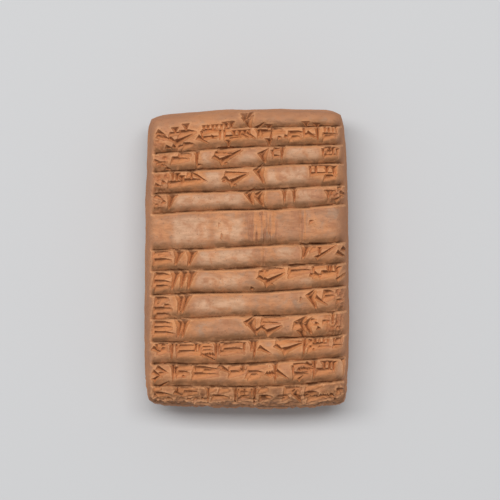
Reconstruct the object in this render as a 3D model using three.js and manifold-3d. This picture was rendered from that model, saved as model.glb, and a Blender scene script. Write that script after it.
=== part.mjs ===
// A small pillow-shaped clay tablet that lies on its reverse. Both faces are gently crowned and turn over rounded
// edges into the sides. Rows are ruled across the obverse, and wedge-headed strokes are pressed into them. The
// strokes copy the look of writing and spell nothing. The reverse has fewer rows, above and below a bare middle.
// Millimetres, +Z up. +Y is the top of the obverse, and the origin is at the middle of the underside.
import * as THREE from "three";
import Module from "manifold-3d";

// Overall sizes
const TABLET_WIDTH = 41.3;
const TABLET_LENGTH = 60.4;
const TABLET_THICKNESS = 16.4;

// How far the rounded edges reach into each face, how far they drop from it, and how square the corners are
const OBVERSE_LEFT_EDGE = 2;
const OBVERSE_RIGHT_EDGE = 3.2;
const OBVERSE_TOP_EDGE = 3.8;
const OBVERSE_BOTTOM_EDGE = 2.8;
const OBVERSE_EDGE_DROP = 4.6;
const REVERSE_EDGE = 5;
const REVERSE_EDGE_DROP = 4.4;
const CORNER_ROUND = 0.3;

// How far each face swells, how deep the flat spot under the reverse is cut, and how far the sides swell
const OBVERSE_CROWN = 1.1;
const REVERSE_CROWN = 1.5;
const REST_CUT = 0.25;
const SIDE_SWELL = 0.5;
const HAND_LUMPS = 0.14;

// How far each side of the outline draws in towards the corners
const LEFT_BOW = 0.55;
const RIGHT_BOW = 0.66;
const TOP_BOW = 0.85;
const BOTTOM_BOW = 0.75;

// The ruled lines: their depth, the slope above each one and the steeper slope below it
const RULE_DEPTH = 0.5;
const RULE_FOOT = 1.5;
const RULE_BROW = 0.5;
const RULE_TILT = 0.035;
const RULE_LIFT = 0.0009;
const RULE_WAVE = 0.12;
const SIDE_MARGIN = 1.2;

// The step in which marks are placed across a row
const MARK_STEP = 0.49;

// The marks of the stylus. The neck and the deepest point are shares of the head's width: how far along the stroke
// the neck is and how wide, how far along the deepest point is and how far it lies to the stroke's left. The rake is
// how far the head's edge slants back on the stroke's left.
const UPRIGHT = { head: 1.8, depth: 0.7, neckAt: 0.5, neck: 0.4, deepAt: 0.32, lean: 0.1, rake: 0 };
const LEANING = { head: 2.7, depth: 0.85, neckAt: 0.6, neck: 0.42, deepAt: 0.42, lean: 0.12, rake: 0 };
const SHORT = { head: 0.95, depth: 0.42, neckAt: 0.7, neck: 0.55, deepAt: 0.4, lean: 0, rake: 0 };
const LEVEL = { head: 1.8, depth: 0.6, neckAt: 1.4, neck: 0.75, deepAt: 0.35, lean: 0.28, rake: -0.2 };
const THIN_LEVEL = { head: 1.05, depth: 0.4, neckAt: 1.6, neck: 0.65, deepAt: 0.4, lean: 0.25, rake: -0.2 };
const HOOK = { head: 2.6, depth: 0.9, neckAt: 0.7, neck: 0.36, deepAt: 0.45, lean: -0.24, rake: 0 };
const SLANT = { head: 1.2, depth: 0.55, neckAt: 0.8, neck: 0.6, deepAt: 0.4, lean: 0.1, rake: 0 };
const SWEEP = { head: 1.8, depth: 0.75, neckAt: 0.8, neck: 0.6, deepAt: 0.4, lean: 0.1, rake: 0 };
const TOOL_RISE = 1.2;
const TOOL_FLARE = 0.06;

// Each row is a height in millimetres and its marks: where a mark starts in half millimetres, its letter and its
// width in half millimetres. A digit after the point sets a mark that many tenths of the row lower. The letters are
// u upright, v leaning upright, i short upright, k hook, l level, n three thin levels, b box, h fine hatch, s dart,
// f falling slant and r rising slant.
const OBVERSE_ROWS = [
  [3.6, "37k7.3 12i3.6 29i2.6 62i2.7"],
  [4.0, "6s12 20b8 29b11 43l12.2 47u3 55l8.3 62b6 66u3 70h8 30i2.6 46i3.6"],
  [3.9, "7l9.3 16u4 25s12.1 44k4.2 49b4.1 51u4 70b7.1"],
  [4.6, "14l5 15i2 15f9 12l10.4 29s11.1 42k5 64b12"],
  [3.9, "6v4 38k5 42k5.1 52u3 56u3 75r5.1"],
  [7.3, ""],
  [4.2, "0l9.5 9v4 14v4 61v3 63l12 66r11 67i2.1"],
  [4.8, "0l9.4 8v4 11v4 14v4 43s11.1 55l9 55l10.2 65b10 75r6"],
  [4.8, "0l9.5 9v5 12v4 63k5.1 69l5.1 69l6.3"],
  [4.7, "0l10.5 9v5 11v4 38k6.1 44l12 44s9.2 57l9.3"],
  [4.6, "0f4.2 2b6 7u3 10b10 20n5 25u2 27b11 41u2 50s12 61u2 65i2 67h6 73h5"],
  [4.6, "7u3 10l6.3 16l12.4 27f4 31l6.3 38l8.3 49u2 57b8.1 65u2 66l9.4 69i2.1 71i2.1 73i2.1 77u3"],
  [4.5, "0l4 9i2 12l8.2 22u2 33u2 35b6 35l6.4 41u2 43l5 53l3.4 57k4.1 62l6.3"],
];
const REVERSE_ROWS = [
  [3.2, ""],
  [4.8, "4b8 12u3 16k5 32s11 56l8.3 64u3"],
  [4.8, "4n6 10v4 14u3 28k5 38b10 66u3"],
  [4.8, "6s11 18u3 22l8 22l8.4 64h8"],
  [28.0, ""],
  [4.8, "4b8 12u3 16l8.3 36k5 50s11 63v4"],
  [4.8, "6u3 10n8 43u3 47u3 51l12.3"],
  [4.2, ""],
];

const HALF_WIDTH = TABLET_WIDTH / 2 - SIDE_SWELL;
const HALF_LENGTH = TABLET_LENGTH / 2 - SIDE_SWELL;
const SIDE_BASE = REVERSE_EDGE_DROP + REVERSE_CROWN - REST_CUT;
const SIDE_TOP = TABLET_THICKNESS - OBVERSE_EDGE_DROP - OBVERSE_CROWN;

// Steps in the surface smaller than this are smoothed out
const FINEST_STEP = 0.01;

const OBVERSE = {
  left: OBVERSE_LEFT_EDGE,
  right: OBVERSE_RIGHT_EDGE,
  top: OBVERSE_TOP_EDGE,
  bottom: OBVERSE_BOTTOM_EDGE,
  drop: OBVERSE_EDGE_DROP,
  crown: OBVERSE_CROWN,
  base: SIDE_TOP,
  facing: 1,
  columns: 12,
  seed: 20,
  rows: OBVERSE_ROWS,
  rules: rulesOf(OBVERSE_ROWS),
};
const REVERSE = {
  left: REVERSE_EDGE,
  right: REVERSE_EDGE,
  top: REVERSE_EDGE,
  bottom: REVERSE_EDGE,
  drop: REVERSE_EDGE_DROP,
  crown: REVERSE_CROWN,
  base: -SIDE_BASE,
  facing: -1,
  columns: 8,
  seed: 7,
  rows: REVERSE_ROWS,
  rules: rulesOf(REVERSE_ROWS),
};

const wasm = await Module();
wasm.setup();

// Numbers from 0 to 1 that are the same on every run.
function dice(seed) {
  let state = seed;
  return () => {
    state = (state * 48271) % 2147483647;
    return state / 2147483647;
  };
}

function smoothStep(from, to, value) {
  const share = Math.min(1, Math.max(0, (value - from) / (to - from)));
  return share * share * (3 - 2 * share);
}

// The heights of the lines between the rows, from the top edge of the face to its bottom edge.
function rulesOf(rows) {
  const total = rows.reduce((sum, [height]) => sum + height, 0);
  const rules = [HALF_LENGTH];
  for (const [height] of rows) rules.push(rules.at(-1) - (2 * HALF_LENGTH * height) / total);
  return rules;
}

// A face is crossed by a coordinate from -2 to 2. From -1 to 1 it crosses the crowned part, and beyond that it turns
// over the rounded edge and ends on the side. These two functions go from it to the plan and back.
function crossing(coordinate, half, lowEdge, highEdge) {
  const onFace = Math.min(1, Math.max(-1, coordinate));
  const low = lowEdge - half;
  const high = half - highEdge;
  return {
    at: low + ((high - low) * (onFace + 1)) / 2,
    turn: Math.sin(((coordinate - onFace) * Math.PI) / 2),
    edge: coordinate < 0 ? lowEdge : highEdge,
  };
}

function coordinateOf(at, half, lowEdge, highEdge) {
  const low = lowEdge - half;
  const high = half - highEdge;
  if (at < low) return -1 - (Math.asin(Math.min(1, (low - at) / lowEdge)) * 2) / Math.PI;
  if (at > high) return 1 + (Math.asin(Math.min(1, (at - high) / highEdge)) * 2) / Math.PI;
  return (2 * (at - low)) / (high - low) - 1;
}

// How far the ruled lines climb and wave across the face. The ends of the tablet stay as they are.
function lineShift(x, y) {
  const right = Math.max(0, x);
  const climb = RULE_TILT * x + RULE_LIFT * right * right + RULE_WAVE * Math.sin(0.22 * x + 0.35 * y);
  return climb * (1 - Math.min(1, Math.abs(y / HALF_LENGTH)) ** 6);
}

// The outline draws in towards the corners, as the sides of a hand-shaped tablet do.
function bowed(x, y) {
  const shareX = x / HALF_WIDTH;
  const shareY = y / HALF_LENGTH;
  const side = x > 0 ? RIGHT_BOW * (shareY + 0.24) ** 2 : LEFT_BOW * (shareY + 0.27) ** 2;
  const end = y > 0 ? TOP_BOW * (shareX - 0.3) ** 2 : BOTTOM_BOW * (shareX - 0.1) ** 2;
  return [x - Math.sign(x) * side * shareX ** 2, y - Math.sign(y) * end * shareY ** 2];
}

// The depth of the ruled lines at a point of the plan: a long slope down to each line and a short one up from it.
// The first line of the obverse is only ruled on its right.
function ruleDepth(face, x, y) {
  const margin = smoothStep(SIDE_MARGIN - HALF_WIDTH - 0.5, SIDE_MARGIN - HALF_WIDTH + 0.3, x);
  const shares = face.rules.slice(1, -1).map((rule, index) => {
    const above = y - rule;
    const near = Math.max(0, 1 - Math.abs(above) / (above > 0 ? RULE_FOOT : RULE_BROW)) ** 2;
    return index === 0 ? near * smoothStep(-5, -1, x) : near;
  });
  return RULE_DEPTH * margin * Math.max(...shares);
}

// A point of a face in the tablet's frame, and the way out of the clay there.
function facePoint(face, u, v) {
  const across = crossing(u, HALF_WIDTH, face.left, face.right);
  const along = crossing(v, HALF_LENGTH, face.bottom, face.top);
  const outX = across.turn * Math.sqrt(1 - CORNER_ROUND * along.turn ** 2);
  const outY = along.turn * Math.sqrt(1 - CORNER_ROUND * across.turn ** 2);
  const outZ = Math.sqrt((1 - across.turn ** 2) * (1 - along.turn ** 2));
  const x = across.at + outX * across.edge;
  const y = along.at + outY * along.edge;
  const swell = (1 - (x / HALF_WIDTH) ** 2) * (1 - (y / HALF_LENGTH) ** 2);
  const lump = HAND_LUMPS * Math.sin(0.21 * x + 0.9) * Math.sin(0.17 * y - 0.4);
  const height = face.drop * outZ + face.crown * swell + lump * outZ;
  const [planX, planY] = bowed(x, face.facing * (y + lineShift(x, y)));
  const out = new THREE.Vector3(outX, face.facing * outY, face.facing * outZ).normalize();
  const point = new THREE.Vector3(planX, planY, face.facing * (face.base + height));
  return { point: point.addScaledVector(out, -ruleDepth(face, x, y) * Math.sqrt(outZ)), out };
}

function planPoint(face, x, y) {
  const u = coordinateOf(x, HALF_WIDTH, face.left, face.right);
  const v = coordinateOf(y, HALF_LENGTH, face.bottom, face.top);
  return facePoint(face, u, v);
}

// Coordinates across a face: even steps on the crowned part and three on each rounded edge.
function columnsOf(face) {
  const steps = [-2, -5 / 3, -4 / 3];
  for (let i = 0; i <= face.columns; i++) steps.push((2 * i) / face.columns - 1);
  return [...steps, 4 / 3, 5 / 3, 2];
}

// Coordinates along a face, from the bottom up: each row gets its ruled line, the slopes beside it and its middle,
// and each rounded edge gets three.
function linesOf(face) {
  const places = [];
  for (let row = 1; row < face.rows.length; row++) {
    const rule = face.rules[row];
    const next = face.rules[row + 1];
    const middle = (rule + next) / 2;
    places.push(rule + RULE_FOOT, rule + RULE_FOOT / 3, rule, rule - RULE_BROW, middle);
    if (rule - next > 4 * RULE_FOOT) places.push((middle + rule) / 2, (middle + next) / 2);
  }
  const coordinates = places.map((y) => coordinateOf(y, HALF_LENGTH, face.bottom, face.top));
  const inside = coordinates.filter((v) => Math.abs(v) < 1.25).sort((a, b) => a - b);
  return [-2, -5 / 3, -4 / 3, ...inside, 4 / 3, 5 / 3, 2];
}

// Adds a face's grid to the shell and returns its rim, counter-clockwise seen from outside the face.
function addFace(shell, face) {
  const columns = columnsOf(face);
  const lines = linesOf(face);
  const first = shell.points.length;
  const at = (i, j) => first + j * columns.length + i;
  for (const v of lines) for (const u of columns) shell.points.push(facePoint(face, u, v));
  for (let j = 0; j + 1 < lines.length; j++) {
    for (let i = 0; i + 1 < columns.length; i++) {
      shell.triangles.push([at(i, j), at(i + 1, j), at(i + 1, j + 1)]);
      shell.triangles.push([at(i, j), at(i + 1, j + 1), at(i, j + 1)]);
    }
  }
  const lastColumn = columns.length - 1;
  const lastLine = lines.length - 1;
  const rim = [];
  for (let j = 0; j < lastLine; j++) rim.push(at(lastColumn, j));
  for (let i = lastColumn; i > 0; i--) rim.push(at(i, lastLine));
  for (let j = lastLine; j > 0; j--) rim.push(at(0, j));
  for (let i = 0; i < lastColumn; i++) rim.push(at(i, 0));
  return rim;
}

// The ring round the middle of the sides, swollen out from the rim above it.
function addSideRing(shell, rim) {
  return rim.map((index) => {
    const { point, out } = shell.points[index];
    const swollen = point.clone().addScaledVector(out, SIDE_SWELL);
    swollen.z = (SIDE_BASE + SIDE_TOP) / 2;
    return shell.points.push({ point: swollen, out }) - 1;
  });
}

function bearing(shell, index) {
  const { x, y } = shell.points[index].point;
  const angle = Math.atan2(y / HALF_LENGTH, x / HALF_WIDTH);
  return angle < 0 ? angle + 2 * Math.PI : angle;
}

// Joins two rings that run counter-clockwise seen from above, stepping along whichever ring's next point comes first.
function joinRings(shell, lower, upper) {
  const [low, high] = [lower, upper].map((ring) => {
    const marks = ring.map((index) => ({ index, angle: bearing(shell, index) }));
    const start = marks.reduce((best, mark, i) => (mark.angle < marks[best].angle ? i : best), 0);
    const turned = [...marks.slice(start), ...marks.slice(0, start)];
    return [...turned, { index: turned[0].index, angle: turned[0].angle + 2 * Math.PI }];
  });
  let i = 0;
  let j = 0;
  while (i + 1 < low.length || j + 1 < high.length) {
    const lowNext = i + 1 < low.length ? low[i + 1].angle : Infinity;
    const highNext = j + 1 < high.length ? high[j + 1].angle : Infinity;
    if (lowNext < highNext) {
      shell.triangles.push([low[i].index, low[i + 1].index, high[j].index]);
      i += 1;
    } else {
      shell.triangles.push([low[i].index, high[j + 1].index, high[j].index]);
      j += 1;
    }
  }
}

function solidOf(points, triangles) {
  return new wasm.Manifold(
    new wasm.Mesh({
      numProp: 3,
      vertProperties: new Float32Array(points.flatMap((point) => point.toArray())),
      triVerts: new Uint32Array(triangles.flat()),
    }),
  );
}

// The bare lump of clay with its ruled rows.
function lumpOfClay() {
  const shell = { points: [], triangles: [] };
  const upperRim = addFace(shell, OBVERSE);
  const lowerRim = addFace(shell, REVERSE).reverse();
  const middle = addSideRing(shell, upperRim);
  joinRings(shell, middle, upperRim);
  joinRings(shell, lowerRim, middle);
  return solidOf(
    shell.points.map(({ point }) => point),
    shell.triangles,
  );
}

// The strokes of one mark. Each is given as shares of the mark's width and of the row's height below its top, with
// the way it points in degrees and its length in millimetres.
function markStrokes(kind, width, height) {
  const stack = (stylus, ...shares) => shares.map((share) => [stylus, 0.04, share, 0, 0.92 * width]);
  const posts = (...places) => places.map((place) => [SHORT, place, 0.08, -90, 0.5 * height]);
  const fence = [];
  for (let x = 0.5; x < width; x += 0.9) fence.push([SHORT, x / width, 0.04, -92, 0.36 * height]);
  const marks = {
    u: [[UPRIGHT, 0.5, 0, -92, 0.85 * height]],
    v: [[LEANING, 0.6, 0, -103, 0.85 * height]],
    i: [[UPRIGHT, 0.5, 0, -91, 0.5 * height]],
    k: [
      [HOOK, 0.35, 0.05, -64, 0.74 * height],
      [SLANT, 0, 0.24, 38, 0.95 * width],
    ],
    l: stack(LEVEL, 0.15),
    n: stack(THIN_LEVEL, 0.12, 0.27, 0.42),
    b: [...stack(THIN_LEVEL, 0.12, 0.5), ...posts(0.06, 0.96)],
    h: [...fence, [THIN_LEVEL, 0.02, 0.48, 0, 0.94 * width]],
    s: [
      [SLANT, 0, 0.26, -40, 0.42 * width],
      [SWEEP, 0.24, 0.6, 24, 0.84 * width],
      [THIN_LEVEL, 0.04, 0.14, -2, 0.92 * width],
    ],
    f: [[SLANT, 0.05, 0.06, -32, 0.9 * Math.hypot(width, 0.5 * height)]],
    r: [[SLANT, 0.05, 0.72, 33, 0.9 * Math.hypot(width, 0.6 * height)]],
  };
  return marks[kind];
}

// All the strokes of a face. Each is turned and moved a little, as a hand does.
function faceStrokes(face) {
  const roll = dice(face.seed);
  const jitter = (size) => (roll() - 0.5) * 2 * size;
  return face.rows.flatMap(([, marks], row) => {
    const top = face.rules[row];
    const height = top - face.rules[row + 1];
    const strokes = [];
    for (const [, start, kind, size, lower = 0] of marks.matchAll(/(\d+)([a-z])(\d+)(?:\.(\d))?/g)) {
      const from = SIDE_MARGIN - HALF_WIDTH + start * MARK_STEP;
      const width = size * MARK_STEP;
      for (const [stylus, across, below, degrees, length] of markStrokes(kind, width, height)) {
        strokes.push({
          ...stylus,
          x: from + width * across + jitter(0.1),
          y: top - height * (below + lower / 10) + jitter(0.1),
          turned: ((degrees + jitter(4)) * Math.PI) / 180,
          length: length * (1 + jitter(0.06)),
        });
      }
    }
    return strokes;
  });
}

// The clay that one stroke presses away: a nail shape with a broad head, a narrower neck and a tail that runs out,
// which tapers to its deepest point. Above the surface it stands up straight, so that it cuts right through.
function strokeTool(face, stroke) {
  const alongX = Math.cos(stroke.turned);
  const alongY = Math.sin(stroke.turned);
  const neckAt = Math.min(stroke.neckAt * stroke.head, 0.6 * stroke.length);
  const place = (forward, sideways) => {
    const x = stroke.x + alongX * forward - alongY * sideways;
    const y = stroke.y + alongY * forward + alongX * sideways;
    return planPoint(face, Math.min(x, HALF_WIDTH - 0.4), Math.max(y, 0.4 - HALF_LENGTH));
  };
  const halfNeck = (stroke.neck * stroke.head) / 2;
  const leaning = (1 - stroke.neck) * stroke.lean * stroke.head;
  const raked = (stroke.rake * stroke.head) / 2;
  const outline = [
    place(-raked, stroke.head / 2),
    place(raked, -stroke.head / 2),
    place(neckAt, leaning - halfNeck),
    place(stroke.length, leaning),
    place(neckAt, leaning + halfNeck),
  ];
  const middle = place(stroke.deepAt * stroke.head, stroke.lean * stroke.head);
  const deepest = middle.point.clone().addScaledVector(middle.out, -stroke.depth);
  const flared = ({ point }) => deepest.clone().lerp(point, 1 + TOOL_FLARE / stroke.depth);
  const waist = outline.map(flared);
  const top = outline.map((corner) => flared(corner).addScaledVector(corner.out, TOOL_RISE));
  const cap = middle.point.clone().addScaledVector(middle.out, TOOL_RISE);
  const sides = outline.length;
  const triangles = outline.flatMap((_, i) => {
    const next = (i + 1) % sides;
    return [
      [0, 2 + next, 2 + i],
      [1, 2 + sides + i, 2 + sides + next],
      [2 + i, 2 + next, 2 + sides + next],
      [2 + i, 2 + sides + next, 2 + sides + i],
    ];
  });
  return solidOf([deepest, cap, ...waist, ...top], triangles);
}

// A slab below the tablet's resting height, which cuts the flat spot.
function slabBelow() {
  const corners = [];
  for (const z of [-REVERSE_CROWN, 0]) {
    corners.push([-TABLET_WIDTH, -TABLET_LENGTH, z], [TABLET_WIDTH, -TABLET_LENGTH, z]);
    corners.push([TABLET_WIDTH, TABLET_LENGTH, z], [-TABLET_WIDTH, TABLET_LENGTH, z]);
  }
  const sides = [0, 1, 2, 3].flatMap((i) => {
    const next = (i + 1) % 4;
    return [
      [i, next, next + 4],
      [i, next + 4, i + 4],
    ];
  });
  const ends = [
    [0, 2, 1],
    [0, 3, 2],
    [4, 5, 6],
    [4, 6, 7],
  ];
  return solidOf(
    corners.map((corner) => new THREE.Vector3(...corner)),
    [...sides, ...ends],
  );
}

function geometryOf(solid) {
  const mesh = solid.getMesh();
  const geometry = new THREE.BufferGeometry();
  geometry.setAttribute("position", new THREE.BufferAttribute(mesh.vertProperties, 3));
  geometry.setIndex(new THREE.BufferAttribute(mesh.triVerts, 1));
  geometry.computeBoundingBox();
  const { min, max } = geometry.boundingBox;
  geometry.translate(-(min.x + max.x) / 2, -(min.y + max.y) / 2, -min.z);
  geometry.computeVertexNormals();
  return geometry;
}

function tabletMesh() {
  const tools = [OBVERSE, REVERSE].flatMap((face) => faceStrokes(face).map((stroke) => strokeTool(face, stroke)));
  const carved = lumpOfClay().subtract(wasm.Manifold.union(tools)).subtract(slabBelow());
  const clay = new THREE.MeshStandardMaterial({ color: 0xb67a52, roughness: 0.92, metalness: 0 });
  const mesh = new THREE.Mesh(geometryOf(carved.asOriginal().simplify(FINEST_STEP)), clay);
  mesh.name = "tablet";
  return mesh;
}

const object = new THREE.Group();
object.name = "cuneiform_tablet";
object.add(tabletMesh());

export default object;
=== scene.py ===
import itertools
import math
import re

import bpy
import numpy as np
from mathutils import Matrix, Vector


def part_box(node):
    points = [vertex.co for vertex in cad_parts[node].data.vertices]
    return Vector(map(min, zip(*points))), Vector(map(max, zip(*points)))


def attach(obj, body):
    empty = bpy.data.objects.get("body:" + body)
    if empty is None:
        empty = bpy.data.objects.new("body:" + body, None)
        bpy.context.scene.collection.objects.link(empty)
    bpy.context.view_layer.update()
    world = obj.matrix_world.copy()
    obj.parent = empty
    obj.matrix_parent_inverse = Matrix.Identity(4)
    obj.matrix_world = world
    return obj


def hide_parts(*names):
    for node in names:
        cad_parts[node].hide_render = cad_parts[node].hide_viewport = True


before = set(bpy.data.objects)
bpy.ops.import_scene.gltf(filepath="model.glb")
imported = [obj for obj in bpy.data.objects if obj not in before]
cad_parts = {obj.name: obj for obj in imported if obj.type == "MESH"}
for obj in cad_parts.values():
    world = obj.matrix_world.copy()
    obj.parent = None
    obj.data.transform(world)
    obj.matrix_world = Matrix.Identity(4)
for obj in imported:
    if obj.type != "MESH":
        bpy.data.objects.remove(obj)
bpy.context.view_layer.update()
TABLET_LOW, TABLET_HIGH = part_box("tablet")

# The shape is worked out in millimetres and becomes metres when the mesh is made.
MM = 0.001

# Overall sizes, from the frame
TABLET_WIDTH = (TABLET_HIGH.x - TABLET_LOW.x) / MM
TABLET_LENGTH = (TABLET_HIGH.y - TABLET_LOW.y) / MM
TABLET_THICKNESS = (TABLET_HIGH.z - TABLET_LOW.z) / MM

# The lump of clay, as in the solid: how far its rounded edges reach into each face and drop from it, how
# far the faces and the sides swell, how deep the flat spot is cut and how square the corners are
OBVERSE_EDGES = {"left": 2.0, "right": 3.2, "top": 3.8, "bottom": 2.8}
OBVERSE_EDGE_DROP = 4.6
OBVERSE_CROWN = 1.1
REVERSE_EDGE = 5
REVERSE_EDGE_DROP = 4.4
REVERSE_CROWN = 1.5
REST_CUT = 0.25
CORNER_ROUND = 0.3
SIDE_SWELL = 0.5
HALF_WIDTH = TABLET_WIDTH / 2 - SIDE_SWELL
HALF_LENGTH = TABLET_LENGTH / 2 - SIDE_SWELL
SIDE_BASE = REVERSE_EDGE_DROP + REVERSE_CROWN - REST_CUT
SIDE_TOP = TABLET_THICKNESS - OBVERSE_EDGE_DROP - OBVERSE_CROWN

# The lumps that the hand left: their height, their waves in radians for each millimetre, and where those
# start
HAND_LUMPS = 0.14
LUMPS_ACROSS = 0.21
LUMPS_ALONG = 0.17
LUMPS_START_ACROSS = 0.9
LUMPS_START_ALONG = -0.4

# How far each side of the outline draws in towards the corners, and where along that side the tablet is
# widest, as a share of the way from its middle to a corner
LEFT_BOW = 0.55
RIGHT_BOW = 0.66
TOP_BOW = 0.85
BOTTOM_BOW = 0.75
LEFT_WIDEST = -0.27
RIGHT_WIDEST = -0.24
TOP_WIDEST = 0.3
BOTTOM_WIDEST = 0.1

# The ruled lines, as in the solid: their depth, the slope above each one, the steeper slope below it, how
# they climb and wave, and how sharply they straighten towards the tablet's ends
RULE_DEPTH = 0.5
RULE_FOOT = 1.5
RULE_BROW = 0.5
RULE_TILT = 0.035
RULE_LIFT = 0.0009
RULE_WAVE = 0.12
WAVE_ACROSS = 0.22
WAVE_ALONG = 0.35
END_HOLD = 6

# The left margin, how far left of it the lines start and how far right of it they are full, and where the
# first line, which crosses only half the face, starts and is full
SIDE_MARGIN = 1.2
LEFT_MARGIN = SIDE_MARGIN - HALF_WIDTH
LINE_START = 0.5
LINE_FULL = 0.3
FIRST_LINE = (-5, -1)

# The marks of the stylus, as in the solid. The neck and the deepest point are shares of the head's width,
# and the rake is how far the head's edge slants back on the stroke's left.
UPRIGHT = dict(head=1.8, depth=0.7, neck_at=0.5, neck=0.4, deep_at=0.32, lean=0.1, rake=0)
LEANING = dict(head=2.7, depth=0.85, neck_at=0.6, neck=0.42, deep_at=0.42, lean=0.12, rake=0)
SHORT = dict(head=0.95, depth=0.42, neck_at=0.7, neck=0.55, deep_at=0.4, lean=0, rake=0)
LEVEL = dict(head=1.8, depth=0.6, neck_at=1.4, neck=0.75, deep_at=0.35, lean=0.28, rake=-0.2)
THIN_LEVEL = dict(head=1.05, depth=0.4, neck_at=1.6, neck=0.65, deep_at=0.4, lean=0.25, rake=-0.2)
HOOK = dict(head=2.6, depth=0.9, neck_at=0.7, neck=0.36, deep_at=0.45, lean=-0.24, rake=0)
SLANT = dict(head=1.2, depth=0.55, neck_at=0.8, neck=0.6, deep_at=0.4, lean=0.1, rake=0)
SWEEP = dict(head=1.8, depth=0.75, neck_at=0.8, neck=0.6, deep_at=0.4, lean=0.1, rake=0)
PIT = dict(head=0.8, depth=0.6, neck_at=0.7, neck=0.8, deep_at=0.6, lean=0, rake=0)

# How far along a stroke its neck is at most, the tail's width and depth as shares of the neck's width and
# the stroke's depth, and how long the tail takes to run out
LATEST_NECK = 0.6
TAIL_WIDTH = 0.4
TAIL_DEPTH = 0.22
TAIL_TIP = 0.8

# How far strokes stray from their places, in millimetres, degrees and a share of their length
PLACE_STRAY = 0.1
TURN_STRAY = 4
LENGTH_STRAY = 0.06

# The step in which marks are placed across a row, and how far apart the strokes of a hatch stand
MARK_STEP = 0.49
HATCH_STEP = 0.9
SLANTING_STEP = 0.5

# Each row is a height in millimetres, the marks that the solid has too and the slighter ones that only
# this mesh has. A mark is where it starts in half millimetres, its letter and its width in half
# millimetres. A digit after the point sets it that many tenths of the row lower. The letters are u
# upright, v leaning upright, i short upright, k hook, l level, n three thin levels, b box, h fine hatch,
# s dart, f falling slant, r rising slant, z slanting hatch, c short dash and o pit. Worn clay is w, a
# smoothed-out mark e and a pale patch p. The marks spell nothing.
OBVERSE_ROWS = [
    (3.6, "37k7.3 12i3.6 29i2.6 62i2.7", "8i2.7 20h9.7 31i2.6 46i3.8 66i3.8 1f3.8 37i1.1 42r3.4"),
    (
        4.0,
        "6s12 20b8 29b11 43l12.2 47u3 55l8.3 62b6 66u3 70h8 30i2.6 46i3.6",
        (
            "10l8 18f5.3 31c8.4 48l6.1 56l6.5 70l7.5 12l6.6 0w5 1f3 3f2.1 5o3.5 8o3.5 10c4.6 24o3.2 "
            "36f3.3 38f4.2 54o1.3 43i1.1 44i1.1 33i1.1 35i1.1 37i1.1 63f4.3 51c2.4"
        ),
    ),
    (
        3.9,
        "7l9.3 16u4 25s12.1 44k4.2 49b4.1 51u4 70b7.1",
        (
            "20p5.1 34p9.3 55p13.1 0w6 10l6.1 0o3.2 3o3.4 5o3.6 29o2.5 72i1.1 74i1.1 1c5.4 26l10 "
            "18c3.6 71l5.3"
        ),
    ),
    (
        4.6,
        "14l5 15i2 15f9 12l10.4 29s11.1 42k5 64b12",
        (
            "47p16.1 22p6.1 0w8 1o3.4 4o2.3 6o2.3 6l8.5 9i2.1 11i2.2 66i1 71i1.1 74i1.1 70l6.5 "
            "33o2.5 29o2.3 8i1"
        ),
    ),
    (
        3.9,
        "6v4 38k5 42k5.1 52u3 56u3 75r5.1",
        "9p28.1 59p9.1 0w5 71w8 1f2 1c2.4 4o2.2 71i2.2 73c3.2 76c3 77f2.3",
    ),
    (7.3, "", "9p14.1 26p11.2 38e13 60e3 27c1.2 28c1.5 64c2.2"),
    (
        4.2,
        "0l9.5 9v4 14v4 61v3 63l12 66r11 67i2.1",
        "19p22.1 51p9.1 44e2 75f4.4 77f3.2 2c6.1 64l4.1 0l8.1",
    ),
    (
        4.8,
        "0l9.4 8v4 11v4 14v4 43s11.1 55l9 55l10.2 65b10 75r6",
        (
            "19p18.2 56p9.5 40o1.6 44l10 45l4.1 45f3.4 71i1 72i1 74i1 75i1.1 65f3.3 64o2.2 56o1.1 "
            "1l7.1 1l7.6 68l8.3"
        ),
    ),
    (
        4.8,
        "0l9.5 9v5 12v4 63k5.1 69l5.1 69l6.3",
        "18p20.2 60c1.2 1l7.1 2c3.2 5c3.3 66f5.3 1l7.7 75c3.4 74w5",
    ),
    (
        4.7,
        "0l10.5 9v5 11v4 38k6.1 44l12 44s9.2 57l9.3",
        "0l9.1 0l9.3 60k2.1 62k2.2 60k2.5 66o2.2 67o2.4 69c3.2 72i2 42r4 75c3.5 64c3.1 70w8",
    ),
    (
        4.6,
        "0f4.2 2b6 7u3 10b10 20n5 25u2 27b11 41u2 50s12 61u2 65i2 67h6 73h5",
        (
            "10l10.4 10l10.1 50l10 64l8.3 43f5.3 3l4.1 3l4.2 3l4.3 17i2 28l10.1 28l10.3 20z5.5 "
            "21f5.5 40i1 63l3.1 63l3.4 65o1.3 17c3 30c6.2 74l4.1"
        ),
    ),
    (
        4.6,
        (
            "7u3 10l6.3 16l12.4 27f4 31l6.3 38l8.3 49u2 57b8.1 65u2 66l9.4 69i2.1 71i2.1 73i2.1 "
            "77u3"
        ),
        (
            "76p3 10l8 16l12.1 31l6 38l9 50f6.3 57l8.5 0r3.1 0f3.3 2f4.1 2r4.4 3c3.3 20l8.2 28f3.1 "
            "35l4.2 36i2 39l6.4 46z4.4 59z6.3 62f3.1 59r3.1 12o2.3 9i1.1 17i1"
        ),
    ),
    (
        4.5,
        "0l4 9i2 12l8.2 22u2 33u2 35b6 35l6.4 41u2 43l5 53l3.4 57k4.1 62l6.3",
        (
            "0w20.4 35l6 35l6.2 43l6.4 24l8.4 10l9 53l8.1 62l8 63l9.5 0l9.3 23l4 27l5 12o1.2 20o2.4 "
            "37i1 54o2.3 58o2.2 62o1.2 68z6.5 75l5.3 1o2.3 3o2.5 6o3.4 9f2.2 14o2.4 17c3.5"
        ),
    ),
]
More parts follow.
